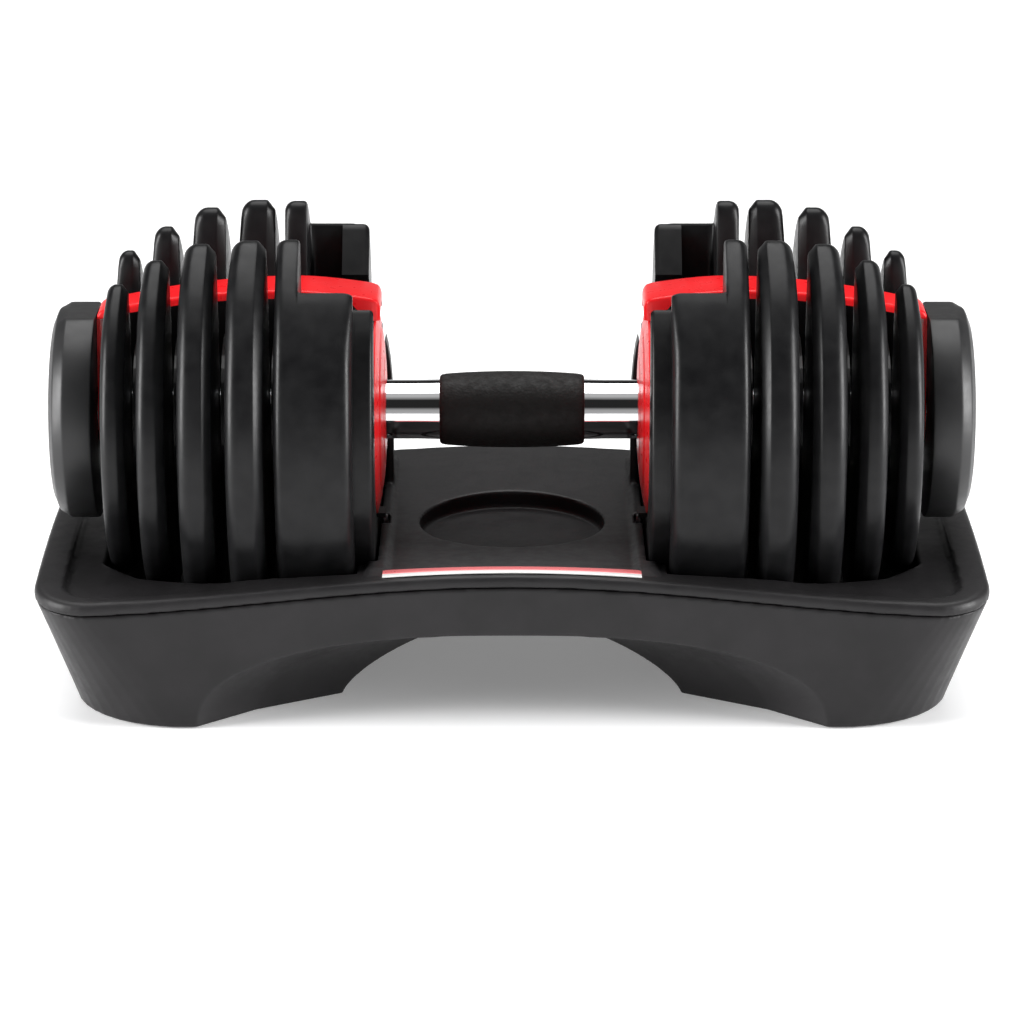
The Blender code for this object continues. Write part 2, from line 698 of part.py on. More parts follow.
def build_tray_top(look):
    """Top moulding: rim, dished deck with a round recess, two wells and the two rear guides."""
    top = build_slab()
    recess_floor = DECK_MIDDLE - RECESS_DEPTH
    bpy.ops.mesh.primitive_cylinder_add(vertices=32, radius=(RECESS_RADIUS + 2.0) * MM,
                                        depth=(RECESS_DEPTH + 1.0) * MM)
    cup = bpy.context.active_object
    cup.data.transform(Matrix.Translation((0.0, 0.0, (recess_floor - 2.0 + (RECESS_DEPTH + 1.0) / 2) * MM)))
    top = combine(top, cup, "UNION")
    for side in (1, -1):
        tub = raised(turned("tub", well_profile(WELL_WALL, DECK_HALF + 0.4), side, closed=False))
        tub = combine(tub, under_surface(), "INTERSECT")
        top = combine(top, tub, "UNION")
        blade = outline_solid("guide", [(side * x, z) for x, z in GUIDE], GUIDE_Y, GUIDE_Y + 12.0, axis="Y")
        top = combine(top, blade, "UNION")
    for side in (1, -1):
        top = combine(top, raised(turned("well", well_profile(0.0, WELL_INNER), side, closed=False)))
        notch = side_box("notch", side, (DECK_HALF + 1.0, -PIN_NOTCH, PIN_SEAT), (WELL_INNER + 3.0, PIN_NOTCH, 80.0))
        top = combine(top, notch)
    bpy.ops.mesh.primitive_cylinder_add(vertices=32, radius=RECESS_RADIUS * MM, depth=30.0 * MM)
    hole = bpy.context.active_object
    hole.data.transform(Matrix.Translation((0.0, 0.0, (recess_floor + 15.0) * MM)))
    top = combine(top, hole)
    top.name = "tray_top"
    top.data.name = "tray_top"
    return finish(top, look)


def arch_cutter(grow):
    """Arch right through under the middle of the tray, which opens out towards its front and back."""
    rings = []
    sections = [(-y, half, height, power) for y, half, height, power in reversed(ARCH)] + ARCH
    for y, half, height, power in sections:
        section = []
        for i in range(ARCH_STEPS + 1):
            angle = math.pi * i / ARCH_STEPS
            c = math.cos(angle)
            x = math.copysign(abs(c) ** (2 / power), c) * (half + grow)
            z = math.sin(angle) ** (2 / power) * (height + grow)
            section.append((x, y, z))
        section += [(-half - grow, y, -20.0), (half + grow, y, -20.0)]
        rings.append(section)
    return loft("arch", rings)


def end_arch_cutter(side, grow):
    outline = arc(1.0, 0.0, 180.0, 12)
    half = END_ARCH_HALF + grow
    outline = [(y * half, z * (END_ARCH_HEIGHT + grow)) for y, z in outline]
    outline += [(-half, -20.0), (half, -20.0)]
    return outline_solid("end_arch", outline, END_ARCH_START - grow, 230.0, side=side)


def base_rings(inset, floor):
    """Rings of the lower moulding from the seam down to its foot."""
    rings = []
    for f in (0.0, 0.35, 0.7, 1.0):
        half_x = TRAY_HALF_LENGTH - 0.4 - BASE_TAPER * f - inset
        half_y = TRAY_HALF_DEPTH - 0.4 - 0.6 * f - inset
        outline = rounded_rectangle(half_x, half_y, TRAY_CORNER + BASE_CORNER * f - inset)
        rings.append([(x, y, (top_height(x, y) - SEAM_DROP - GAP) * (1 - f) + floor * f) for x, y in outline])
    return rings


def build_tray_base(look):
    """Lower moulding: an open-topped shell on four feet, arched in the middle and at its ends."""
    seam = [surface_ring(0.4, SEAM_DROP + GAP, scale) for scale in reversed(INNER_SCALES)]
    base = loft("tray_base", seam + base_rings(0.0, BASE_Z))
    base = combine(base, arch_cutter(0.0))
    lid = rounded_rectangle(TRAY_HALF_LENGTH - 0.4 - SKIN, TRAY_HALF_DEPTH - 0.4 - SKIN, TRAY_CORNER - SKIN)
    hollow = loft("hollow", [[(x, y, 90.0) for x, y in lid]] + base_rings(SKIN, BASE_Z + FLOOR))
    hollow = combine(hollow, arch_cutter(SKIN))
    for side in (1, -1):
        base = combine(base, end_arch_cutter(side, 0.0))
        hollow = combine(hollow, end_arch_cutter(side, SKIN))
    base = combine(base, hollow)
    for x, y in foot_places():
        base = combine(base, puck("seat", x, y, PAD_RADIUS + GAP, -1.0, PAD_THICK + GAP))
    return finish(base, look)


def puck(name, x, y, radius, low, high):
    bpy.ops.mesh.primitive_cylinder_add(vertices=16, radius=radius * MM, depth=(high - low) * MM)
    item = bpy.context.active_object
    item.name = name
    item.data.transform(Matrix.Translation(Vector((x, y, (low + high) / 2)) * MM))
    return item


def foot_places():
    return [(sx * FOOT_X, sy * FOOT_Y) for sx in (1, -1) for sy in (-1, 1)]


def build_tray_fittings(rubber, steel, label_look):
    """Foot pads, the pins that free the dial locks, and the plain strip at the front of the deck."""
    for x, y in foot_places():
        name = ("right" if x > 0 else "left") + ("_front" if y < 0 else "_rear") + "_foot_pad"
        finish(puck(name, x, y, PAD_RADIUS, 0.0, PAD_THICK), rubber)
    for side, label in ((1, "right"), (-1, "left")):
        pin = puck(label + "_release_pin", side * PIN_X, 0.0, 1.6, PIN_SEAT + GAP, AXIS_Z - 48.4 - GAP)
        finish(pin, steel)
    rings = []
    for i in range(STRIP_STEPS + 1):
        x = -STRIP_HALF + 2 * STRIP_HALF * i / STRIP_STEPS
        front, rear = [(y, top_height(x, y) + GAP) for y in (STRIP_Y - STRIP_WIDTH / 2, STRIP_Y + STRIP_WIDTH / 2)]
        rings.append([(x, *front), (x, *rear), (x, rear[0], rear[1] + STRIP_THICK), (x, front[0], front[1] + STRIP_THICK)])
    strip = loft("label_strip", rings)
    finish(strip, label_look)


def main():
    clear_scene()
    make_collection(ASSEMBLY)
    black = material("black_coated_steel", (0.012, 0.012, 0.013), 0.45)
    plastic = material("black_plastic", (0.015, 0.015, 0.016), 0.5)
    red = material("red_plastic", (0.75, 0.02, 0.02), 0.35)
    chrome = material("chrome", (0.8, 0.8, 0.82), 0.08, 1.0)
    rubber = material("black_rubber", (0.01, 0.01, 0.01), 0.8)
    steel = material("plated_steel", (0.55, 0.56, 0.58), 0.3, 1.0)
    axis_point = (0.0, 0.0, AXIS_Z * MM)
    handle = empty("handle_frame", axis_point)
    build_rod(steel, handle)
    build_tube(chrome, handle)
    build_grip(rubber, handle)
    for side, label in ((1, "right"), (-1, "left")):
        dial_axis = empty(label + "_dial_axis", (0.0, 0.0, 0.0), handle)
        build_dial(side, label, plastic, dial_axis)
        build_sleeve(side, label, steel, dial_axis)
        build_index_wheel(side, label, plastic, dial_axis)
        for index in range(len(PLATES)):
            build_selector(side, label, index, plastic, dial_axis)
        build_inner_disc(side, label, red, handle)
        build_housing(side, label, plastic, handle)
        build_bridge(side, label, red, handle)
        build_end_fasteners(side, label, steel, handle)
        build_lock_tab(side, label, steel, handle)
        rack = empty(label + "_plates", axis_point)
        for spec in PLATES:
            build_plate(side, label, spec, black, rack)
    build_tray_top(plastic)
    build_tray_base(plastic)
    build_tray_fittings(rubber, steel, material("strip_red", (0.8, 0.1, 0.1), 0.3))


main()
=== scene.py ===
"""Adjustable dumbbell in its storage tray: the finished look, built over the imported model."""
import math

import bmesh
import bpy
from mathutils import Matrix, Vector


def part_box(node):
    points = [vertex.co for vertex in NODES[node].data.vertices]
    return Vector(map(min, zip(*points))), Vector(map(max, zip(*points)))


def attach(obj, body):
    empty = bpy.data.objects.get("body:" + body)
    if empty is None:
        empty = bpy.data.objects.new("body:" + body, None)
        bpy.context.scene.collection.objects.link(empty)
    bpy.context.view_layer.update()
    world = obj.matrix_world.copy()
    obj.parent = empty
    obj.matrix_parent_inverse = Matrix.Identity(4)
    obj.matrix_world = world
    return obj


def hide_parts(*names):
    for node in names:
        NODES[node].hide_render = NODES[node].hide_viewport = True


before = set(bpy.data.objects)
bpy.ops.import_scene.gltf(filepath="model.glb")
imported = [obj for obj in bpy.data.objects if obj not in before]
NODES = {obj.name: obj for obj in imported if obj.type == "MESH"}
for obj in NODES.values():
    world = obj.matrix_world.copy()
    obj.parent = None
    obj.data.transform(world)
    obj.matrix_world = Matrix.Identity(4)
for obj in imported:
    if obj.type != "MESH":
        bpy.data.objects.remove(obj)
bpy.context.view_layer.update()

MM = 0.001
SIDES = ((1, "right"), (-1, "left"))


def extent(node):
    """A node's box in millimetres, with X measured outwards from the middle of the object."""
    low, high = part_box(node)
    low = [value / MM for value in low]
    high = [value / MM for value in high]
    if high[0] < 0:
        low[0], high[0] = -high[0], -low[0]
    return low, high


# ---- sizes in millimetres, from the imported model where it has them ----
AXIS_Z = (extent("core_rod")[0][2] + extent("core_rod")[1][2]) / 2
TRAY_HALF_X = extent("tray_top")[1][0]
TRAY_HALF_Y = extent("tray_top")[1][1]
# plates, by number from the outermost: half width of the slot's mouth, rounding of the outward
# edge, bevel of the inward edge, and how far the lug stands out
MOUTHS = {1: 25.5, 2: 25.5, 3: 28.5, 4: 33.0, 5: 31.0}
ROUNDINGS = {1: 4.2, 2: 4.8, 3: 5.6, 4: 5.6}
BEVELS = {1: 3.2, 2: 3.6, 3: 3.8, 4: 3.8}
LUG_REACH = {1: 1.6, 2: 3.2, 3: 3.4, 4: 3.4, 5: 2.0}
LUG_HALF = 6.0
LUG_LOW = 28.4                 # below the axis
LUG_HIGH = 23.5
TIP_TAPER = 2.4                # a plate thins by this much at its tips
TIP_REACH = 26.0               # over this height
THIN_ROUNDING = 4.4
SLOT_FLOOR = 22.0
# innermost plate: its wide part, the boss on its inner face and the pad behind the axis
WIDE_END = 90.4
WIDE_INNER = 67.3
WIDE_MOUTH = 60.0
WIDE_FLOOR = 52.5
WIDE_ROUNDING = 5.0
WIDE_STEP = 3.0                # concave corner between the wide and the thin part
BOSS_RADIUS = 82.0
BOSS_FRONT = 131.6
BOSS_REAR = 14.0
PAD_START = 63.9
PAD_TOP = 49.0
PAD_BOTTOM = 10.0
PAD_INNER_RADIUS = 66.0
PAD_ROUNDING = 3.0
DIAL_FLAT = 44.9
DECK_MIDDLE = 62.5
DECK_RISE = 6.7
DECK_HALF = 53.0
END_FALL = 1.5
CORNER_FALL = 12.2
PANEL_DEPTH = 2.4
TOP_SKIN = 5.0
RAIL_RISE = 1.6
TRAY_CORNER = 26.0
SEAM_DROP = 5.4
SEAM_GAP = 0.3
SKIN = 2.6
WELL_INNER = 57.6
RECESS_RADIUS = 40.8
RECESS_DEPTH = 7.0
BASE_Z = 0.5
BASE_FLOOR = 3.2
BASE_TAPER = 15.0              # each end draws in this far from the seam to the foot
BASE_CORNER = 24.0             # and the corners' radius grows by this much
END_ARCH_HALF = 40.0
END_ARCH_HEIGHT = 11.0
END_ARCH_START = 150.0
MOULD_VOXEL = 0.9
GUIDE_FRONT = 48.0
GUIDE_REAR = 60.0
GUIDE_OUTER = 57.4
# rear guide: height and X of the face that meets the disc
GUIDE = ((58.0, 53.6), (100.0, 53.6), (108.0, 53.75), (116.0, 54.2), (123.0, 54.9), (129.0, 55.8),
         (133.0, 56.8))
# arch through the tray: distance from the middle, half width, height and squareness of its section
ARCH = [
    (54.0, 74.0, 38.0, 1.45), (75.0, 110.0, 40.5, 1.9),
    (97.0, 134.8, 42.0, 2.4), (130.0, 181.0, 44.0, 2.4),
]
NUMBER_SIZE = 5.4
NUMBER_RADIUS = 28.0
SETTINGS = (5, 7.5, 10, 12.5, 15, 17.5, 20, 22.5, 25, 30, 35, 40, 45, 50, 52.5)


# ---- materials ----
class Look:
    """A Principled material under construction, textured in the object's own space."""

    def __init__(self, name, colour, roughness, metallic=0.0, specular=0.5):
        self.material = bpy.data.materials.new(name)
        self.material.use_nodes = True
        self.nodes = self.material.node_tree.nodes
        self.links = self.material.node_tree.links
        self.shader = self.nodes["Principled BSDF"]
        self.shader.inputs["Base Color"].default_value = (*colour, 1.0)
        self.shader.inputs["Roughness"].default_value = roughness
        self.shader.inputs["Metallic"].default_value = metallic
        self.shader.inputs["Specular IOR Level"].default_value = specular
        self.place = self.nodes.new("ShaderNodeTexCoord").outputs["Object"]
        self.normal = None

    def stretch(self, scale):
        mapping = self.nodes.new("ShaderNodeMapping")
        mapping.inputs["Scale"].default_value = scale
        self.links.new(self.place, mapping.inputs["Vector"])
        return mapping.outputs["Vector"]

    def noise(self, size_mm, detail=3.0, rough=0.5, stretch=None):
        """Noise whose blobs are about size_mm across."""
        texture = self.nodes.new("ShaderNodeTexNoise")
        texture.inputs["Scale"].default_value = 1.0 / (size_mm * MM)
        texture.inputs["Detail"].default_value = detail
        texture.inputs["Roughness"].default_value = rough
        self.links.new(self.stretch(stretch) if stretch else self.place, texture.inputs["Vector"])
        return texture.outputs["Fac"]

    def cells(self, size_mm, smooth=0.3):
        texture = self.nodes.new("ShaderNodeTexVoronoi")
        texture.feature = "SMOOTH_F1"
        texture.inputs["Scale"].default_value = 1.0 / (size_mm * MM)
        texture.inputs["Smoothness"].default_value = smooth
        self.links.new(self.place, texture.inputs["Vector"])
        return texture.outputs["Distance"]

    def spread(self, value, low, high):
        """Map 0.3 to 0.7, where most noise lies, onto low to high."""
        remap = self.nodes.new("ShaderNodeMapRange")
        remap.inputs["From Min"].default_value = 0.3
        remap.inputs["From Max"].default_value = 0.7
        remap.inputs["To Min"].default_value = low
        remap.inputs["To Max"].default_value = high
        self.links.new(value, remap.inputs["Value"])
        return remap.outputs["Result"]

    def vary_roughness(self, value, low, high):
        self.links.new(self.spread(value, low, high), self.shader.inputs["Roughness"])

    def vary_colour(self, value, dark, light):
        mix = self.nodes.new("ShaderNodeMix")
        mix.data_type = "RGBA"
        mix.inputs["A"].default_value = (*dark, 1.0)
        mix.inputs["B"].default_value = (*light, 1.0)
        self.links.new(self.spread(value, 0.0, 1.0), mix.inputs["Factor"])
        self.links.new(mix.outputs["Result"], self.shader.inputs["Base Color"])

    def bump(self, value, height_mm, strength=1.0):
        node = self.nodes.new("ShaderNodeBump")
        node.inputs["Distance"].default_value = height_mm * MM
        node.inputs["Strength"].default_value = strength
        self.links.new(value, node.inputs["Height"])
        if self.normal is not None:
            self.links.new(self.normal, node.inputs["Normal"])
        self.normal = node.outputs["Normal"]
        self.links.new(self.normal, self.shader.inputs["Normal"])


def plate_coating():
    """Moulded satin coating over iron: faint waviness, fine grain and slightly uneven gloss."""
    look = Look("plate_coating", (0.010, 0.010, 0.010), 0.34, specular=0.2)
    look.vary_colour(look.noise(9.0, 4.0), (0.005, 0.005, 0.0055), (0.010, 0.010, 0.0105))
    look.vary_roughness(look.noise(5.0, 5.0, 0.6), 0.28, 0.40)
    look.bump(look.noise(7.0, 2.0), 0.10, 0.5)
    look.bump(look.noise(0.9, 2.0), 0.02, 0.6)
    return look.material


def tray_plastic():
    """Spark-textured polypropylene."""
    look = Look("tray_plastic", (0.018, 0.017, 0.018), 0.44, specular=0.26)
    look.vary_colour(look.noise(22.0, 3.0), (0.011, 0.0105, 0.011), (0.016, 0.015, 0.016))
    look.vary_roughness(look.noise(6.0, 5.0, 0.65), 0.38, 0.50)
    look.bump(look.noise(0.8, 3.0, 0.6), 0.035, 0.7)
    return look.material


def satin_plastic():
    look = Look("satin_plastic", (0.018, 0.018, 0.0185), 0.40, specular=0.34)
    look.vary_roughness(look.noise(7.0, 5.0, 0.6), 0.33, 0.45)
    look.bump(look.noise(0.7, 2.0), 0.018, 0.6)
    return look.material


def red_plastic():
    look = Look("red_plastic", (0.80, 0.012, 0.016), 0.3, specular=0.25)
    look.vary_colour(look.noise(30.0, 2.0), (0.76, 0.010, 0.014), (0.86, 0.016, 0.020))
    look.vary_roughness(look.noise(4.0, 4.0), 0.26, 0.36)
    look.bump(look.noise(2.5, 2.0), 0.012, 0.5)
    return look.material


def chrome():
    """Polished plating with the faintest turning marks round the tube."""
    look = Look("chrome", (0.86, 0.86, 0.87), 0.06, metallic=1.0)
    marks = look.noise(1.0, 2.0, stretch=(1.0, 0.05, 0.05))
    look.vary_roughness(look.noise(6.0, 4.0), 0.03, 0.07)
    look.bump(marks, 0.002, 0.5)
    return look.material


def plated_steel():
    look = Look("plated_steel", (0.52, 0.53, 0.55), 0.3, metallic=1.0)
    look.vary_roughness(look.noise(2.0, 4.0), 0.24, 0.4)
    look.bump(look.noise(0.5, 2.0, stretch=(1.0, 0.2, 0.2)), 0.006, 0.6)
    return look.material


def grip_rubber():
    """Rubber with a moulded stipple of small round pips."""
    look = Look("grip_rubber", (0.007, 0.0065, 0.006), 0.66, specular=0.3)
    look.vary_roughness(look.noise(3.0, 3.0), 0.55, 0.74)
    look.bump(look.cells(1.25), 0.16, 0.9)
    look.bump(look.noise(0.3, 2.0), 0.02, 0.5)
    return look.material


def plain_rubber():
    look = Look("foot_rubber", (0.02, 0.02, 0.02), 0.85)
    look.bump(look.noise(0.5, 3.0), 0.05, 0.7)
    return look.material


def strip_look(name, colour, roughness):
    look = Look(name, colour, roughness)
    look.vary_roughness(look.noise(3.0, 3.0), roughness - 0.03, roughness + 0.06)
    look.bump(look.noise(1.2, 2.0), 0.006, 0.5)
    return look.material


def floor_look():
    look = Look("floor", (0.93, 0.93, 0.935), 0.65)
    look.vary_roughness(look.noise(60.0, 3.0), 0.6, 0.7)
    look.shader.inputs["Emission Color"].default_value = (1.0, 1.0, 1.0, 1.0)
    look.shader.inputs["Emission Strength"].default_value = 0.2
    return look.material


# ---- mesh helpers ----
def make(name, mesh, material, sharp=32.0):
    item = bpy.data.objects.new(name, mesh)
    bpy.context.scene.collection.objects.link(item)
    mesh.shade_smooth()
    mesh.set_sharp_from_angle(angle=math.radians(sharp))
    mesh.materials.clear()
    mesh.materials.append(material)
    return item


def skin(rings, close_start=True, close_end=True, loop=False):
    """Mesh over rings of points in millimetres that all have the same number of points."""
    work = bmesh.new()
    rows = [[work.verts.new(Vector(point) * MM) for point in ring] for ring in rings]
    pairs = list(zip(rows, rows[1:]))
    if loop:
        pairs.append((rows[-1], rows[0]))
    count = len(rows[0])
    for lower, upper in pairs:
        for i in range(count):
            j = (i + 1) % count
            work.faces.new((lower[i], lower[j], upper[j], upper[i]))
    if close_start and not loop:
        work.faces.new(list(reversed(rows[0])))
    if close_end and not loop:
        work.faces.new(rows[-1])
    bmesh.ops.remove_doubles(work, verts=work.verts, dist=1e-7)
    bmesh.ops.recalc_face_normals(work, faces=work.faces)
    mesh = bpy.data.meshes.new("skin")
    work.to_mesh(mesh)
    work.free()
    return mesh


def join_meshes(meshes):
    """One mesh out of several."""
    work = bmesh.new()
    for mesh in meshes:
        work.from_mesh(mesh)
    joined = bpy.data.meshes.new("joined")
    work.to_mesh(joined)
    work.free()
    for mesh in meshes:
        bpy.data.meshes.remove(mesh)
    return joined


def scratch(mesh):
    item = bpy.data.objects.new("scratch", mesh)
    bpy.context.scene.collection.objects.link(item)
    return item


def evaluated(item):
    """The mesh that an object's modifiers make; the object is removed."""
    depsgraph = bpy.context.evaluated_depsgraph_get()
    mesh = bpy.data.meshes.new_from_object(item.evaluated_get(depsgraph))
    bpy.data.objects.remove(item, do_unlink=True)
    return mesh


def boolean(mesh, other, operation="DIFFERENCE"):
    """Cut or join two meshes."""
    for each in (mesh, other):
        work = bmesh.new()
        work.from_mesh(each)
        bmesh.ops.triangulate(work, faces=work.faces)
        work.to_mesh(each)
        work.free()
    base = scratch(mesh)
    tool = scratch(other)
    modifier = base.modifiers.new("cut", "BOOLEAN")
    modifier.solver = "EXACT"
    modifier.operation = operation
    modifier.object = tool
    result = evaluated(base)
    bpy.data.objects.remove(tool, do_unlink=True)
    return result


def moulded(mesh):
    """Round every edge as a moulding's are: remesh evenly, relax, then thin the flat areas out."""
    item = scratch(mesh)
    remesh = item.modifiers.new("even", "REMESH")
    remesh.mode = "VOXEL"
    remesh.voxel_size = MOULD_VOXEL * MM
    relax = item.modifiers.new("relax", "SMOOTH")
    relax.factor = 0.5
    relax.iterations = 3
    thin = item.modifiers.new("thin", "DECIMATE")
    thin.ratio = 0.3
    return evaluated(item)


def arc(radius, start, end, count, centre=(0.0, 0.0)):
    points = []
    for i in range(count + 1):
        angle = math.radians(start + (end - start) * i / count)
        points.append((centre[0] + radius * math.cos(angle), centre[1] + radius * math.sin(angle)))
    return points


def blend(before, corner, after, reach, count=6):
    """A rounded corner, reach millimetres back along each side."""
    corner = Vector(corner)
    start = corner + (Vector(before) - corner).normalized() * reach
    end = corner + (Vector(after) - corner).normalized() * reach
    points = []
    for i in range(count + 1):
        t = i / count
        point = start * (1 - t) ** 2 + corner * 2 * t * (1 - t) + end * t * t
        points.append((point.x, point.y))
    return points


def between(a, b, count):
    """Points strictly between two points."""
    return [(a[0] + (b[0] - a[0]) * i / count, a[1] + (b[1] - a[1]) * i / count)
            for i in range(1, count)]


def inset(outline, amount, shares=None):
    """Move an anticlockwise outline inwards along its own normals, each point by its share."""
    result = []
    count = len(outline)
    for i, point in enumerate(outline):
        ahead = Vector(outline[(i + 1) % count]) - Vector(outline[i - 1])
        ahead.normalize()
        depth = amount * shares[i] if shares else amount
        result.append((point[0] - ahead.y * depth, point[1] + ahead.x * depth))
    return result


def turned(profile, side, steps=128, closed=True):
    """Turn (x, radius) points about the dumbbell's axis."""
    rings = []
    for x, radius in profile:
        ring = []
        for i in range(steps):
            angle = 2 * math.pi * i / steps
            ring.append((side * x, radius * math.cos(angle), AXIS_Z + radius * math.sin(angle)))
        rings.append(ring)
    return skin(rings, loop=closed)


def box_mesh(low, high):
    work = bmesh.new()
    bmesh.ops.create_cube(work, size=1.0)
    size = [(b - a) * MM for a, b in zip(low, high)]
    middle = [(a + b) / 2 * MM for a, b in zip(low, high)]
    matrix = Matrix.Translation(middle) @ Matrix.Diagonal((*size, 1.0))
    bmesh.ops.transform(work, matrix=matrix, verts=work.verts)
    mesh = bpy.data.meshes.new("box")
    work.to_mesh(mesh)
    work.free()
    return mesh


def round_edges(item, width):
    bevel = item.modifiers.new("edges", "BEVEL")
    bevel.width = width * MM
    bevel.segments = 2
    bevel.limit_method = "ANGLE"
    bevel.angle_limit = math.radians(40.0)


def place(item, body, slot, *nodes):
    """Attach a finished piece to its body, in place of the CAD nodes that it stands for."""
    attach(item, body)
    if nodes:
        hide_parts(*nodes)


# ---- plates ----
def slotted_disc(radius, mouth, floor, reach=10.0):
    """Anticlockwise outline in (y, z) about the axis: a disc with a slot that opens upwards."""
    top = math.sqrt(radius ** 2 - mouth ** 2)
    tip = math.degrees(math.atan2(top, mouth))
    lean = math.degrees(math.atan2(mouth - floor, top))
    cut = math.degrees(reach / radius)
    tips = [arc(radius, angle, angle, 1)[0] for angle in (180.0 - tip, 360.0 + tip)]
    outer = arc(radius, 180.0 - tip + cut, 360.0 + tip - cut, 120)
    bottom = arc(floor, -lean, -180.0 + lean, 32)
    left = blend(bottom[-1], tips[0], outer[0], reach, 10)
    right = blend(outer[-1], tips[1], bottom[0], reach, 10)
    right_wall = between(right[-1], bottom[0], 8)
    left_wall = between(bottom[-1], left[0], 8)
    return left + outer[1:-1] + right + right_wall + bottom + left_wall


def rim_shares(outline, radius, floor, least):
    """How much of the rim's rounding each point takes: all of it at the rim, least in the slot."""
    shares = []
    for y, z in outline:
        along = (math.hypot(y, z) - floor) / (radius - floor)
        shares.append(least + (1 - least) * max(0.0, min(1.0, along)) ** 5)
    return shares


def boss_outline():
    """Broad C about the axis, which reaches higher at the front than at the rear."""
    outer = arc(BOSS_RADIUS, BOSS_FRONT, 360.0 + BOSS_REAR, 120)
    top = (WIDE_FLOOR + 0.2, outer[-1][1])
    inner = between(top, (WIDE_FLOOR, 0.0), 4) + arc(WIDE_FLOOR, 360.0, 180.0, 60)
    wall = between(inner[-1], outer[0], 8)
    front = blend(wall[-1], outer[0], outer[6], 4.0)
    rear = blend(outer[-7], outer[-1], top, 4.0)
    return front + outer[4:-4] + rear + inner + wall[:-2]


def rear_pad_outline(radius):
    """Part of the wide rim, behind the axis, that stands further in than the rest of it."""
    outer = arc(radius, PAD_BOTTOM, PAD_TOP, 40)
    inner = arc(PAD_INNER_RADIUS, PAD_TOP, PAD_BOTTOM, 30)
    top = blend(outer[-8], outer[-1], inner[0], 5.0)
    low = blend(inner[-1], outer[0], outer[8], 5.0)
    return low + outer[5:-5] + top + [inner[0]] + inner[2:-2] + [inner[-1]]


def resample(path, count):
    """Points at equal distances along a path, both ends included."""
    lengths = [0.0]
    for a, b in zip(path, path[1:]):
        lengths.append(lengths[-1] + math.dist(a, b))
    points = []
    leg = 0
    for i in range(count):
        target = lengths[-1] * i / (count - 1)
        while leg < len(path) - 2 and lengths[leg + 1] < target:
            leg += 1
        share = (target - lengths[leg]) / max(1e-9, lengths[leg + 1] - lengths[leg])
        a, b = path[leg], path[leg + 1]
        points.append((a[0] + (b[0] - a[0]) * share, a[1] + (b[1] - a[1]) * share))
    return points


def widened(thin, radius):
    """The wide part's outline, point for point with the thin part's, so that both share the rim."""
    top = math.sqrt(radius ** 2 - WIDE_MOUTH ** 2)
    reach = 6.0
    rim = [abs(math.hypot(y, z) - radius) < 1e-6 and z < top - reach for y, z in thin]
    first = rim.index(True)
    last = len(rim) - 1 - rim[::-1].index(True)
    floor_steps = 33
    tail = len(thin) - 1 - last
    right_count = tail - floor_steps - 7
    left_count = first + 7
    tip = (WIDE_MOUTH, top)
    rounded = blend(thin[last], tip, (WIDE_FLOOR, 0.0), reach, 10)
    right = resample([thin[last]] + rounded + [(WIDE_FLOOR, 0.0)], right_count + 2)[1:-1]
    bottom = arc(WIDE_FLOOR, 0.0, -180.0, floor_steps - 1)
    mirrored = [(-y, z) for y, z in reversed([thin[last]] + rounded + [(WIDE_FLOOR, 0.0)])]
    left = resample(mirrored, left_count + 2)[1:-1]
    return left[7:] + thin[first:last + 1] + right + bottom + left[:7]


def fillet(x, sense, rounding, steps=7, flat_last=True):
    """(x, inset) round a quarter circle that ends, or starts, flat at the rim."""
    points = []
    for i in range(steps + 1):
        angle = math.pi / 2 * i / steps
        across = rounding * (1 - math.cos(angle)) if flat_last else rounding * math.sin(angle)
        depth = rounding * (1 - math.sin(angle)) if flat_last else rounding * (1 - math.cos(angle))
        points.append((x + sense * across, depth))
    return points


def rim_profile(inner, outer, rounding, bevel):
    """(x, inset) across a plate: a bevelled inward edge, a flat rim and a rounded outward edge."""
    profile = [(inner, bevel + 1.2), (inner + 0.15, bevel + 0.6), (inner + 0.6, bevel)]
    profile += [(inner + bevel - 0.3, 0.45), (inner + bevel + 0.4, 0.08), (inner + bevel + 1.2, 0.0)]
    return profile + fillet(outer - rounding, 1, rounding, flat_last=False)


def disc_layer(outline, profile, side, shares=None, taper=lambda z: 0.0):
    """Skin over an outline drawn at each x of a profile, inset as the profile says."""
    rings = []
    for x, depth in profile:
        ring = []
        for y, z in inset(outline, depth, shares):
            lean = taper(z) * (x - profile[0][0]) / (profile[-1][0] - profile[0][0])
            ring.append((side * (x - lean), y, AXIS_Z + z))
        rings.append(ring)
    return skin(rings)


def lug(side, outer, reach):
    x0, x1 = sorted((side * (outer - 0.5), side * (outer + reach)))
    return box_mesh((x0, -LUG_HALF, AXIS_Z - LUG_LOW), (x1, LUG_HALF, AXIS_Z - LUG_HIGH))


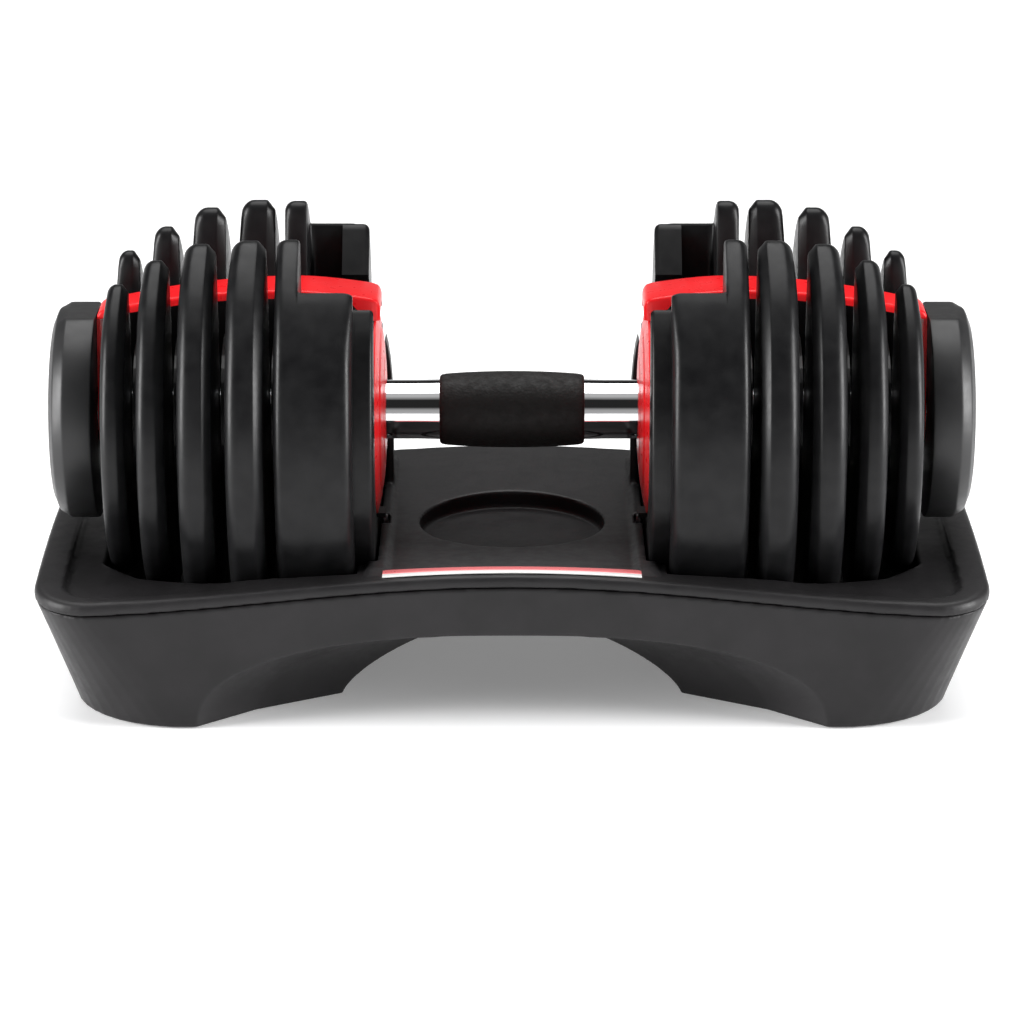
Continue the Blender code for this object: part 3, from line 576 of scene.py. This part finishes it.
def wide_plate(side, boss_start, outer, radius):
    """Innermost plate: wide part, concave step and thin part, with its boss and rear pad."""
    thin = slotted_disc(radius, MOUTHS[5], SLOT_FLOOR)
    wide = widened(thin, radius)
    rings = []
    tip = math.sqrt(radius ** 2 - WIDE_MOUTH ** 2)
    shy = [0.4 + 0.6 * max(0.0, min(1.0, (tip - 8.0 - z) / 16.0)) for y, z in wide]
    for x, depth in fillet(WIDE_INNER, 1, WIDE_ROUNDING):
        rings.append((x, inset(wide, depth, shy)))
    for i in range(7):
        angle = math.pi / 2 * i / 6
        share = 0.12 * (1 - math.cos(angle))
        mixed = [(a + (c - a) * share, b + (d - b) * share) for (a, b), (c, d) in zip(wide, thin)]
        rings.append((WIDE_END - WIDE_STEP + WIDE_STEP * math.sin(angle), mixed))
    bare = [min(1.0, math.dist(a, b) / 5.0) for a, b in zip(wide, thin)]
    for x, depth in ((WIDE_END, 1.6), (WIDE_END + 0.5, 0.5), (WIDE_END + 1.6, 0.0)):
        rings.append((x, inset(thin, depth, bare)))
    shares = rim_shares(thin, radius, SLOT_FLOOR, 0.3)
    for x, depth in fillet(outer - THIN_ROUNDING, 1, THIN_ROUNDING, flat_last=False):
        rings.append((x, inset(thin, depth, shares)))
    body = skin([[(side * x, y, AXIS_Z + z) for y, z in outline] for x, outline in rings])
    profile = [(boss_start, 1.6), (boss_start + 0.3, 0.8), (boss_start + 1.2, 0.1),
               (boss_start + 2.0, 0.0), (WIDE_INNER + 3.0, 0.0)]
    boss = disc_layer(boss_outline(), profile, side)
    pad_outline = rear_pad_outline(radius)
    flat = PAD_INNER_RADIUS + 4.0
    rim = [max(0.0, math.hypot(y, z) - flat) / (radius - flat) for y, z in pad_outline]
    pad_profile = fillet(PAD_START, 1, PAD_ROUNDING) + [(PAD_START + 12.0, 0.0)]
    pad = disc_layer(pad_outline, pad_profile, side, rim)
    return [body, boss, pad]


def build_plate(side, label, number, material):
    """One U-slotted weight plate with the lug that its selector flange carries."""
    node = label + "_plate_" + str(number)
    low, high = extent(node)
    outer = high[0] - LUG_REACH[number]
    radius = AXIS_Z - low[2]
    if number == 5:
        layers = wide_plate(side, low[0], outer, radius)
    else:
        outline = slotted_disc(radius, MOUTHS[number], SLOT_FLOOR)
        profile = rim_profile(low[0], outer, ROUNDINGS[number], BEVELS[number])
        start = math.sqrt(radius ** 2 - MOUTHS[number] ** 2) - TIP_REACH
        shares = rim_shares(outline, radius, SLOT_FLOOR, 0.3)
        layers = [disc_layer(outline, profile, side, shares,
                             lambda z: TIP_TAPER * max(0.0, (z - start) / TIP_REACH) ** 2)]
    layers.append(lug(side, outer, LUG_REACH[number]))
    item = make(node + "_body", join_meshes(layers), material)
    place(item, label + "_weight_" + str(number), "plate_coating", node)


# ---- dumbbell ----
def flat_circle(x, radius, side, steps=160):
    """Ring of a dial at x whose rim has a flat on top."""
    ring = []
    for i in range(steps):
        angle = 2 * math.pi * i / steps
        z = min(radius * math.sin(angle), DIAL_FLAT)
        ring.append((side * x, radius * math.cos(angle), AXIS_Z + z))
    return ring


def build_dial(side, label, material, pale):
    node = label + "_dial"
    low, high = extent(node)
    inner = low[0]
    face = high[0]
    radius = AXIS_Z - low[2]
    profile = [(inner + 9.0, 16.0), (inner, 16.0), (inner, radius - 1.0), (inner + 0.3, radius - 0.3),
               (inner + 1.0, radius), (face - 7.2, radius), (face - 6.6, radius - 0.12),
               (face - 6.0, radius - 0.4),
               (face - 2.7, radius - 2.5), (face - 2.1, radius - 3.0), (face - 1.7, radius - 3.8),
               (face - 0.4, radius - 7.2), (face - 0.1, radius - 7.8)]
    profile += [(face, radius - 8.3), (face, 38.0), (face - 0.7, 37.4), (face - 0.7, 36.4),
                (face, 35.8), (face, 20.6), (face - 0.6, 20.0), (face - 0.6, 16.6),
                (face - 1.2, 15.4), (face - 6.4, 15.0), (face - 6.4, 5.3)]
    rings = [flat_circle(x, r, side) for x, r in profile]
    dial = make(node + "_knob", skin(rings, close_start=False, close_end=False), material)
    place(dial, label + "_selector", "black_plastic", node)
    numerals = make(node + "_numbers", dial_numbers(side, face - 0.05), pale)
    place(numerals, label + "_selector", "strip")


def dial_numbers(side, face):
    """The weight settings round the dial's face, the heaviest one on top."""
    meshes = []
    outward = Matrix(((0, 0, side, 0), (side, 0, 0, 0), (0, 1, 0, 0), (0, 0, 0, 1)))
    for i, value in enumerate(reversed(SETTINGS)):
        curve = bpy.data.curves.new("number", "FONT")
        curve.body = str(value)
        curve.align_x = "CENTER"
        curve.align_y = "CENTER"
        curve.size = NUMBER_SIZE * MM
        curve.extrude = 0.1 * MM
        mesh = evaluated(scratch(curve))
        turn = -math.radians(i * 360.0 / len(SETTINGS))
        spin = Matrix.Rotation(turn, 4, "Z") @ Matrix.Translation((0.0, NUMBER_RADIUS * MM, 0.0))
        lift = Matrix.Translation((side * face * MM, 0.0, AXIS_Z * MM))
        mesh.transform(lift @ outward @ spin)
        meshes.append(mesh)
    return join_meshes(meshes)


def build_tube(material):
    half = extent("handle_tube")[1][0]
    grip_end = extent("grip")[1][0]
    profile = [(-half, 5.6), (-half, 13.0), (-grip_end - 9.0, 13.0), (-grip_end - 4.0, 13.12),
               (-grip_end, 13.2), (grip_end, 13.2), (grip_end + 4.0, 13.12), (grip_end + 9.0, 13.0),
               (half, 13.0), (half, 5.6)]
    tube = make("handle_tube_chrome", turned(profile, 1), material)
    place(tube, "handle", "chrome", "handle_tube")


def build_grip(material):
    low, high = extent("grip")
    half = high[0]
    radius = AXIS_Z - low[2]
    end = radius - 1.5
    profile = [(-half, 13.3), (-half, end - 1.1), (-half + 0.35, end - 0.4), (-half + 1.0, end)]
    for i in range(1, 24):
        x = -half + 2 * half * i / 24
        profile.append((x, end + (radius - end) * (1 - (x / half) ** 2) ** 0.8))
    profile += [(half - 1.0, end), (half - 0.35, end - 0.4), (half, end - 1.1), (half, 13.3)]
    grip = make("grip_rubber", turned(profile, 1, 160), material)
    place(grip, "handle", "rubber", "grip")


def build_inner_disc(side, label, material):
    """Domed disc with a rolled rim and two shallow rings in its face."""
    node = label + "_inner_disc"
    low, high = extent(node)
    front = low[0]
    back = high[0]
    radius = AXIS_Z - low[2]
    rise = back - 0.8 - front
    profile = [(back, 13.4), (front + 0.1, 13.4), (front, 13.8)]
    for i in range(1, 40):
        r = 13.8 + (radius - 13.8) * i / 40
        x = front + rise * ((r - 13.4) / (radius - 13.4)) ** 2.2
        groove = max(0.0, 1 - abs(r - 25.0) / 1.6) + max(0.0, 1 - abs(r - 37.0) / 1.6)
        profile.append((x + 0.5 * min(1.0, 1.6 * groove), r))
    profile += [(back - 0.9, radius - 0.25), (back - 0.4, radius), (back, radius)]
    item = make(node + "_dome", turned(profile, side), material, 50.0)
    place(item, "handle", "red_plastic", node)


def bridge_top(x):
    span = (x - 95.0) / 85.0
    if x < 95.0:
        return 57.4 - 3.6 * (abs(x - 95.0) / 35.0) ** 1.6
    return 57.4 - 10.2 * span ** 2.0


def bridge_half(x):
    return 14.6 - 3.6 * max(0.0, min(1.0, (x - 85.0) / 80.0))


def bridge_ring(x, side, drop=0.0, shrink=0.0):
    """Channel section with rounded upper edges."""
    top = bridge_top(x) - drop
    half = bridge_half(x) - shrink
    deepen = max(0.0, min(1.0, (70.0 - x) / 8.0))
    low = bridge_top(x) - 3.6
    low -= (low - 44.0) * deepen ** 2 * (3 - 2 * deepen)
    right = blend((half, low), (half, top), (0.0, top), 1.8, 5)
    section = [(half, low)] + right + [(-y, z) for y, z in reversed(right)] + [(-half, low)]
    section += [(-half + 2.4, low), (-half + 2.4, top - 3.0)]
    section += [(half - 2.4, top - 3.0), (half - 2.4, low)]
    return [(side * x, y, AXIS_Z + z) for y, z in section]


def build_bridge(side, label, material):
    """Red arm over the plates, turned down at the handle's disc and at the dial."""
    node = label + "_bridge"
    low, high = extent(node)
    start = low[0]
    end = high[0]
    stations = [start + (end - 2.5 - start) * i / 30 for i in range(1, 31)]
    rings = [bridge_ring(start, side, 3.2, 1.8), bridge_ring(start + 0.4, side, 1.9, 1.1),
             bridge_ring(start + 1.0, side, 1.0, 0.6), bridge_ring(start + 1.8, side, 0.4, 0.2)]
    rings += [bridge_ring(x, side) for x in stations if x > start + 2.6]
    rings += [bridge_ring(end - 1.2, side, 0.5, 0.2), bridge_ring(end - 0.4, side, 1.3, 0.5)]
    rings.append(bridge_ring(end, side, 2.3, 0.9))
    arm = skin(rings)
    leg = arc(17.0, -200.0, 20.0, 48)
    half = bridge_half(178.0)
    top = [(half, 40.0), (11.0, 44.0), (-11.0, 44.0), (-half, 40.0)]
    leg_rings = [[(side * x, y, AXIS_Z + z) for y, z in leg + top] for x in (end - 1.6, end)]
    bore = turned([(end - 3.0, 0.5), (end - 3.0, 9.6), (end + 1.0, 9.6), (end + 1.0, 0.5)], side, 64)
    item = make(node + "_arm", join_meshes([arm, boolean(skin(leg_rings), bore)]), material)
    place(item, "handle", "red_plastic", node)


def finish_hidden(black, steel):
    """Give the carried-over CAD pieces their materials and slightly broken edges."""
    for side, label in SIDES:
        for name in ("_lock_housing", "_index_wheel"):
            dress(label + name, black, 0.3)
        for number in range(1, 6):
            dress(label + "_selector_disc_" + str(number), black, 0.25)
        dress(label + "_lock_tab", black, 0.25)
        for name in ("_selector_sleeve", "_washer", "_nut", "_release_pin"):
            dress(label + name, steel, 0.25)
    dress("core_rod", steel, 0.5)


def dress(node, material, edge):
    item = NODES[node]
    item.data.materials.clear()
    item.data.materials.append(material)
    round_edges(item, edge)


# ---- tray ----
def plan(half_x, half_y, corner, count=10, long_side=14, short_side=8):
    """Rounded rectangle, anticlockwise from the +X side, with points along its straight parts."""
    corners = []
    for sign_x, sign_y, start in ((1, 1, 0), (-1, 1, 90), (-1, -1, 180), (1, -1, 270)):
        centre = (sign_x * (half_x - corner), sign_y * (half_y - corner))
        corners.append(arc(corner, start, start + 90, count, centre))
    points = []
    for i, turn in enumerate(corners):
        stretch = long_side if i % 2 == 0 else short_side
        points += turn + between(turn[-1], corners[(i + 1) % 4][0], stretch)
    return points


def top_height(x, y):
    """Top of the tray: a deck dished from front to back, falling in an S-curve to the ends."""
    along = min(1.0, abs(x) / TRAY_HALF_X)
    end = math.sin(math.pi / 2 * along) ** 2
    edge = min(1.0, abs(y) / TRAY_HALF_Y) ** 2
    return DECK_MIDDLE - END_FALL * end + (DECK_RISE - CORNER_FALL * end) * edge


def top_ring(inward, drop, scale=1.0):
    points = plan(TRAY_HALF_X - inward, TRAY_HALF_Y - inward, TRAY_CORNER - inward)
    return [(x * scale, y * scale, top_height(x * scale, y * scale) - drop) for x, y in points]


SCALES = (0.93, 0.86, 0.78, 0.7, 0.6, 0.5, 0.38, 0.25, 0.12, 0.02)


def well_profile(grow, inner_x):
    """Turned outline of a well, a little larger than the plates that stand in it."""
    radius = {n: AXIS_Z - extent("right_plate_" + str(n))[0][2] for n in (1, 2, 4)}
    outer = {n: extent("right_plate_" + str(n))[1][0] - LUG_REACH[n] for n in (1, 2, 4)}
    full = radius[4] + 1.2 + grow
    boss = BOSS_RADIUS + 1.2 + grow
    step = WIDE_INNER - 1.2 - grow
    end = outer[1] + 1.6 + grow
    return [(inner_x, 0.05), (inner_x, boss), (step, boss), (step, full), (outer[4] + 2.0, full),
            (outer[2] + 2.0, radius[2] + 4.4 + grow), (end, radius[1] + 1.6 + grow), (end, 0.05)]


def rail(side):
    """Raised edge between the deck and a well."""
    rings = []
    for i in range(25):
        y = -88.0 + 176.0 * i / 24
        z = top_height(DECK_HALF, y)
        fade = RAIL_RISE * min(1.0, (88.0 - abs(y)) / 8.0)
        section = [(52.6, z - 2.0), (62.0, z - 2.0), (62.0, z + fade), (54.0, z + fade),
                   (53.0, z + 0.5 * fade)]
        rings.append([(side * x, y, height) for x, height in section])
    return skin(rings)


def panel_cutter():
    """Sinks the panel at each end of the tray under its rim."""
    def bottom(scale):
        ring = []
        for x, y in plan(TRAY_HALF_X - 13.0, TRAY_HALF_Y - 7.5, 16.0):
            x, y = x * scale, y * scale
            sink = PANEL_DEPTH * min(1.0, max(-1.0, (abs(x) - 112.0) / 24.0))
            ring.append((x, y, top_height(x, y) - sink))
        return ring
    lid = [(x, y, 100.0) for x, y, _ in bottom(1.0)]
    return skin([lid, bottom(1.0)] + [bottom(scale) for scale in SCALES])


def rear_guide(side):
    """Upright blade behind the handle's disc."""
    rings = []
    for z, x in GUIDE:
        rings.append([(side * x, GUIDE_FRONT, z), (side * GUIDE_OUTER, GUIDE_FRONT, z),
                      (side * GUIDE_OUTER, GUIDE_REAR, z), (side * x, GUIDE_REAR, z)])
    return skin(rings)


def build_tray_top(material):
    """Top moulding. Its panels are sunk before the guides go on, or the cut would take the guides."""
    slab = [top_ring(0.0, SEAM_DROP, scale) for scale in reversed(SCALES)]
    slab += [top_ring(inward, drop) for inward, drop in
             ((0.0, SEAM_DROP), (0.0, 2.6), (0.3, 1.5), (1.0, 0.6), (2.0, 0.1), (3.0, 0.0))]
    slab += [top_ring(3.0, 0.0, scale) for scale in SCALES]
    inside = [[(x, y, 20.0) for x, y, _ in top_ring(SKIN, 0.0)], top_ring(SKIN + 0.4, TOP_SKIN)]
    inside += [top_ring(SKIN + 0.4, TOP_SKIN, scale) for scale in SCALES]
    top = boolean(skin(slab), skin(inside))
    floor = DECK_MIDDLE - RECESS_DEPTH
    top = boolean(top, disc(RECESS_RADIUS + 2.0, floor - 2.0, DECK_MIDDLE - 1.0), "UNION")
    under = [[(x, y, 5.0) for x, y, _ in top_ring(3.6, 0.0)], top_ring(3.6, 1.0)]
    under += [top_ring(3.6, 1.0, scale) for scale in SCALES]
    for side, _ in SIDES:
        tub = turned(well_profile(1.8, DECK_HALF + 0.4), side, 96)
        top = boolean(top, boolean(tub, skin(under), "INTERSECT"), "UNION")
    for side, _ in SIDES:
        top = boolean(top, rail(side), "UNION")
    top = boolean(top, panel_cutter())
    for side, _ in SIDES:
        top = boolean(top, rear_guide(side), "UNION")
        top = boolean(top, turned(well_profile(0.0, WELL_INNER), side, 96))
        x0, x1 = sorted((side * (DECK_HALF + 1.0), side * (WELL_INNER + 3.0)))
        top = boolean(top, box_mesh((x0, -7.0, 60.5), (x1, 7.0, 80.0)))
    top = boolean(top, disc(RECESS_RADIUS, floor, floor + 30.0))
    item = make("tray_top_moulding", moulded(top), material, 60.0)
    place(item, "tray", "tray_plastic", "tray_top")


def disc(radius, low, high, steps=96):
    outline = arc(radius, 0.0, 360.0, steps)[:-1]
    return skin([[(x, y, z) for x, y in outline] for z in (low, high)])


def arch(grow):
    """Arch through under the tray, which opens out towards the front and back."""
    rings = []
    sections = [(-y, half, height, power) for y, half, height, power in reversed(ARCH)] + ARCH
    for y, half, height, power in sections:
        section = []
        for i in range(61):
            angle = math.pi * i / 60
            c = math.cos(angle)
            x = math.copysign(abs(c) ** (2 / power), c) * (half + grow)
            section.append((x, y, math.sin(angle) ** (2 / power) * (height + grow)))
        section += [(-half - grow, y, -20.0), (half + grow, y, -20.0)]
        rings.append(section)
    fine = []
    for a, b in zip(rings, rings[1:]):
        for i in range(8):
            fine.append([tuple(p + (q - p) * i / 8 for p, q in zip(u, v)) for u, v in zip(a, b)])
    return skin(fine + [rings[-1]])


def end_arch(side, grow):
    half = END_ARCH_HALF + grow
    outline = [(y * half, z * (END_ARCH_HEIGHT + grow)) for y, z in arc(1.0, 0.0, 180.0, 32)]
    outline += [(-half, -20.0), (half, -20.0)]
    return skin([[(side * x, y, z) for y, z in outline] for x in (END_ARCH_START - grow, 230.0)])


def base_rings(inward, floor):
    """Lower moulding's side from the seam down to its floor."""
    rings = []
    for i in range(9):
        f = i / 8
        half_x = TRAY_HALF_X - 0.4 - BASE_TAPER * f - inward
        half_y = TRAY_HALF_Y - 0.4 - 0.6 * f - inward
        ring = []
        for x, y in plan(half_x, half_y, TRAY_CORNER + BASE_CORNER * f - inward):
            seam = top_height(x, y) - SEAM_DROP - SEAM_GAP
            ring.append((x, y, seam * (1 - f) + floor * f))
        rings.append(ring)
    return rings


def build_tray_base(material):
    seam = [top_ring(0.4, SEAM_DROP + SEAM_GAP, scale) for scale in reversed(SCALES)]
    base = boolean(skin(seam + base_rings(0.0, BASE_Z)), arch(0.0))
    lid = [(x, y, 90.0) for x, y, _ in top_ring(0.4 + SKIN, 0.0)]
    hollow = boolean(skin([lid] + base_rings(SKIN, BASE_Z + BASE_FLOOR)), arch(SKIN))
    for side, _ in SIDES:
        base = boolean(base, end_arch(side, 0.0))
        hollow = boolean(hollow, end_arch(side, SKIN))
    base = boolean(base, hollow)
    item = make("tray_base_moulding", moulded(base), material, 60.0)
    place(item, "tray", "tray_plastic", "tray_base")


def build_strip(red, pale):
    """Plain strip at the front of the deck: a red band with a pale edge."""
    low, high = extent("label_strip")
    half = high[0] - 0.1
    front = low[1] + 0.1
    rear = high[1] - 0.1
    split = front + (rear - front) * 0.4
    parts = (("strip_band", split + 0.2, rear, red), ("strip_edge", front, split, pale))
    for name, y0, y1, material in parts:
        rings = []
        for i in range(41):
            x = -half + 2 * half * i / 40
            low_z = [(y, top_height(x, y) + 0.35) for y in (y0, y1)]
            high_z = [(y, top_height(x, y) + lift)
                      for y, lift in ((y1, 0.8), (y1 - 0.3, 1.0), (y0 + 0.3, 1.0), (y0, 0.8))]
            rings.append([(x, *point) for point in low_z + high_z])
        item = make(name, skin(rings), material)
        nodes = ("label_strip",) if name == "strip_band" else ()
        place(item, "tray", "strip", *nodes)


def build_pads(material):
    for _, label in SIDES:
        for end in ("_front", "_rear"):
            node = label + end + "_foot_pad"
            NODES[node].data.materials.clear()
            NODES[node].data.materials.append(material)
            round_edges(NODES[node], 0.4)


# ---- stage ----
def build_floor():
    bpy.ops.mesh.primitive_plane_add(size=30.0)
    floor = bpy.context.active_object
    floor.name = "floor"
    floor.data.materials.append(floor_look())


def area_light(name, place_at, look_at, size, power):
    data = bpy.data.lights.new(name, "AREA")
    data.shape = "RECTANGLE"
    data.size, data.size_y = size
    data.energy = power
    light = bpy.data.objects.new(name, data)
    light.location = place_at
    light.rotation_euler = (Vector(look_at) - Vector(place_at)).to_track_quat("-Z", "Y").to_euler()
    bpy.context.scene.collection.objects.link(light)


def build_world():
    """White backdrop; to everything but the camera, a dim room, brighter low down and overhead."""
    world = bpy.data.worlds.new("studio")
    world.use_nodes = True
    nodes = world.node_tree.nodes
    links = world.node_tree.links
    room = nodes["Background"]
    backdrop = nodes.new("ShaderNodeBackground")
    backdrop.inputs["Color"].default_value = (1.0, 1.0, 1.0, 1.0)
    place_in = nodes.new("ShaderNodeTexCoord")
    split = nodes.new("ShaderNodeSeparateXYZ")
    ramp = nodes.new("ShaderNodeValToRGB")
    links.new(place_in.outputs["Generated"], split.inputs["Vector"])
    links.new(split.outputs["Z"], ramp.inputs["Fac"])
    stops = ramp.color_ramp.elements
    stops[0].position = 0.0
    stops[0].color = (0.45, 0.45, 0.45, 1.0)
    stops[1].position = 1.0
    stops[1].color = (0.5, 0.5, 0.5, 1.0)
    for position, level in ((0.22, 0.36), (0.38, 0.02), (0.78, 0.02), (0.92, 0.5)):
        stop = stops.new(position)
        stop.color = (level, level, level, 1.0)
    links.new(ramp.outputs["Color"], room.inputs["Color"])
    rays = nodes.new("ShaderNodeLightPath")
    mix = nodes.new("ShaderNodeMixShader")
    links.new(rays.outputs["Is Camera Ray"], mix.inputs["Fac"])
    links.new(room.outputs["Background"], mix.inputs[1])
    links.new(backdrop.outputs["Background"], mix.inputs[2])
    links.new(mix.outputs["Shader"], nodes["World Output"].inputs["Surface"])
    bpy.context.scene.world = world


def build_lights():
    """A broad soft light from overhead and a tall soft box on each side."""
    data = bpy.data.lights.new("overhead", "SUN")
    data.energy = 2.3
    data.angle = math.radians(55.0)
    sun = bpy.data.objects.new("overhead", data)
    sun.rotation_euler = (math.radians(-18.0), 0.0, 0.0)
    bpy.context.scene.collection.objects.link(sun)
    middle = (0.0, 0.0, 0.1)
    for side in (1, -1):
        area_light("side_box", (side * 1.5, -0.45, 0.5), middle, (0.6, 1.1), 38.0)


def build_camera():
    distance = 1.9
    pitch = math.radians(17.5)
    data = bpy.data.cameras.new("camera")
    data.lens = 151.8
    data.sensor_width = 36.0
    camera = bpy.data.objects.new("camera", data)
    aim = Vector((0.0, -0.0136, 0.0708))
    back = Vector((0.0, -math.cos(pitch), math.sin(pitch)))
    camera.location = aim + back * distance
    camera.rotation_euler = (-back).to_track_quat("-Z", "Y").to_euler()
    bpy.context.scene.collection.objects.link(camera)
    bpy.context.scene.camera = camera
    bpy.context.scene.view_settings.view_transform = "Standard"


# ---- the whole object ----
black = satin_plastic()
red = red_plastic()
steel = plated_steel()
coating = plate_coating()
tray = tray_plastic()
pale = strip_look("pale_print", (0.82, 0.82, 0.80), 0.4)
for side, label in SIDES:
    for number in range(1, 6):
        build_plate(side, label, number, coating)
    build_dial(side, label, black, pale)
    build_inner_disc(side, label, red)
    build_bridge(side, label, red)
build_tube(chrome())
build_grip(grip_rubber())
finish_hidden(black, steel)
build_tray_top(tray)
build_tray_base(tray)
build_strip(strip_look("strip_red", (0.80, 0.17, 0.18), 0.3), pale)
build_pads(plain_rubber())
build_floor()
build_world()
build_lights()
build_camera()
